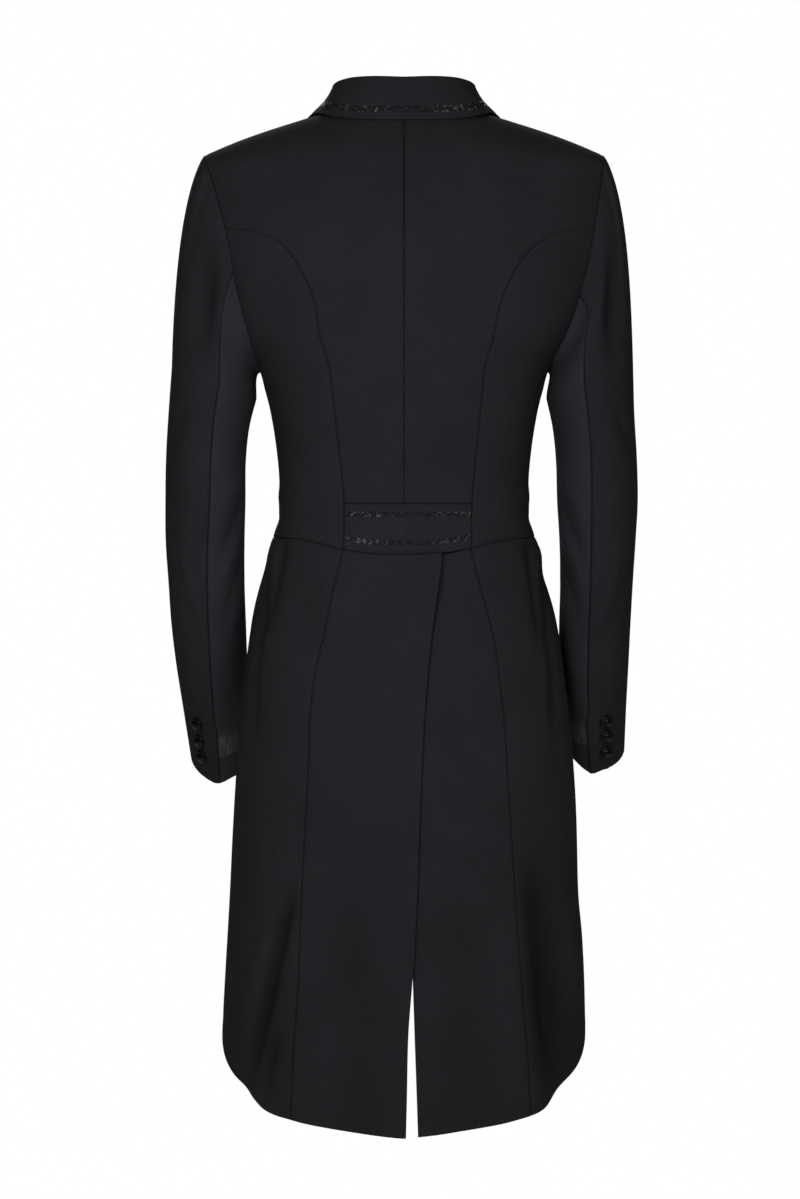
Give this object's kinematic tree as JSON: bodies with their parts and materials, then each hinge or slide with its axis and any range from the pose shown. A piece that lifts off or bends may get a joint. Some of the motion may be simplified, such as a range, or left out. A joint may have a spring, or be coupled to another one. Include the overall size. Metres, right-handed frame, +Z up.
{
  "type": "dressage tailcoat",
  "caption": "Women's black dressage tailcoat, filled out as worn but empty: princess-seamed back, let-in waist tab, vented tails, notched collar, two-piece sleeves.",
  "frame": {"origin": "midway between the two side neck points, where the wearer's shoulders carry the coat", "axes": "+Z up, the wearer faces -Y, so +Y is the back, and +X is the wearer's left"},
  "size_m": [0.4653, 0.2526, 1.0381],
  "materials": {
    "coat_cloth": "matte fine weave",
    "stretch_cloth": "soft sheen stretch weave",
    "ribbed_cloth": "fine vertical ribs",
    "button_gloss": "polished, domed"
  },
  "bodies": {
    "root": {"back_centre_left": "coat_cloth", "back_centre_right": "coat_cloth", "back_side_left": "coat_cloth", "back_side_right": "coat_cloth", "front_side_left": "coat_cloth", "front_side_right": "coat_cloth", "front_left": "coat_cloth", "front_right": "coat_cloth", "lapel_left": "coat_cloth", "lapel_right": "coat_cloth", "collar": "coat_cloth", "waist_tab": "coat_cloth", "tail_centre_left": "coat_cloth", "tail_centre_right": "coat_cloth", "tail_side_left": "coat_cloth", "tail_side_right": "coat_cloth", "top_sleeve_left": "coat_cloth", "top_sleeve_right": "coat_cloth", "under_sleeve_left": "stretch_cloth", "under_sleeve_right": "stretch_cloth", "cuff_band_left": "ribbed_cloth", "cuff_band_right": "ribbed_cloth", "cuff_button_left_1": "button_gloss", "cuff_button_left_2": "button_gloss", "cuff_button_left_3": "button_gloss", "cuff_button_right_1": "button_gloss", "cuff_button_right_2": "button_gloss", "cuff_button_right_3": "button_gloss", "front_button_1": "button_gloss", "front_button_2": "button_gloss", "front_button_3": "button_gloss"}
  },
  "joints": []
}
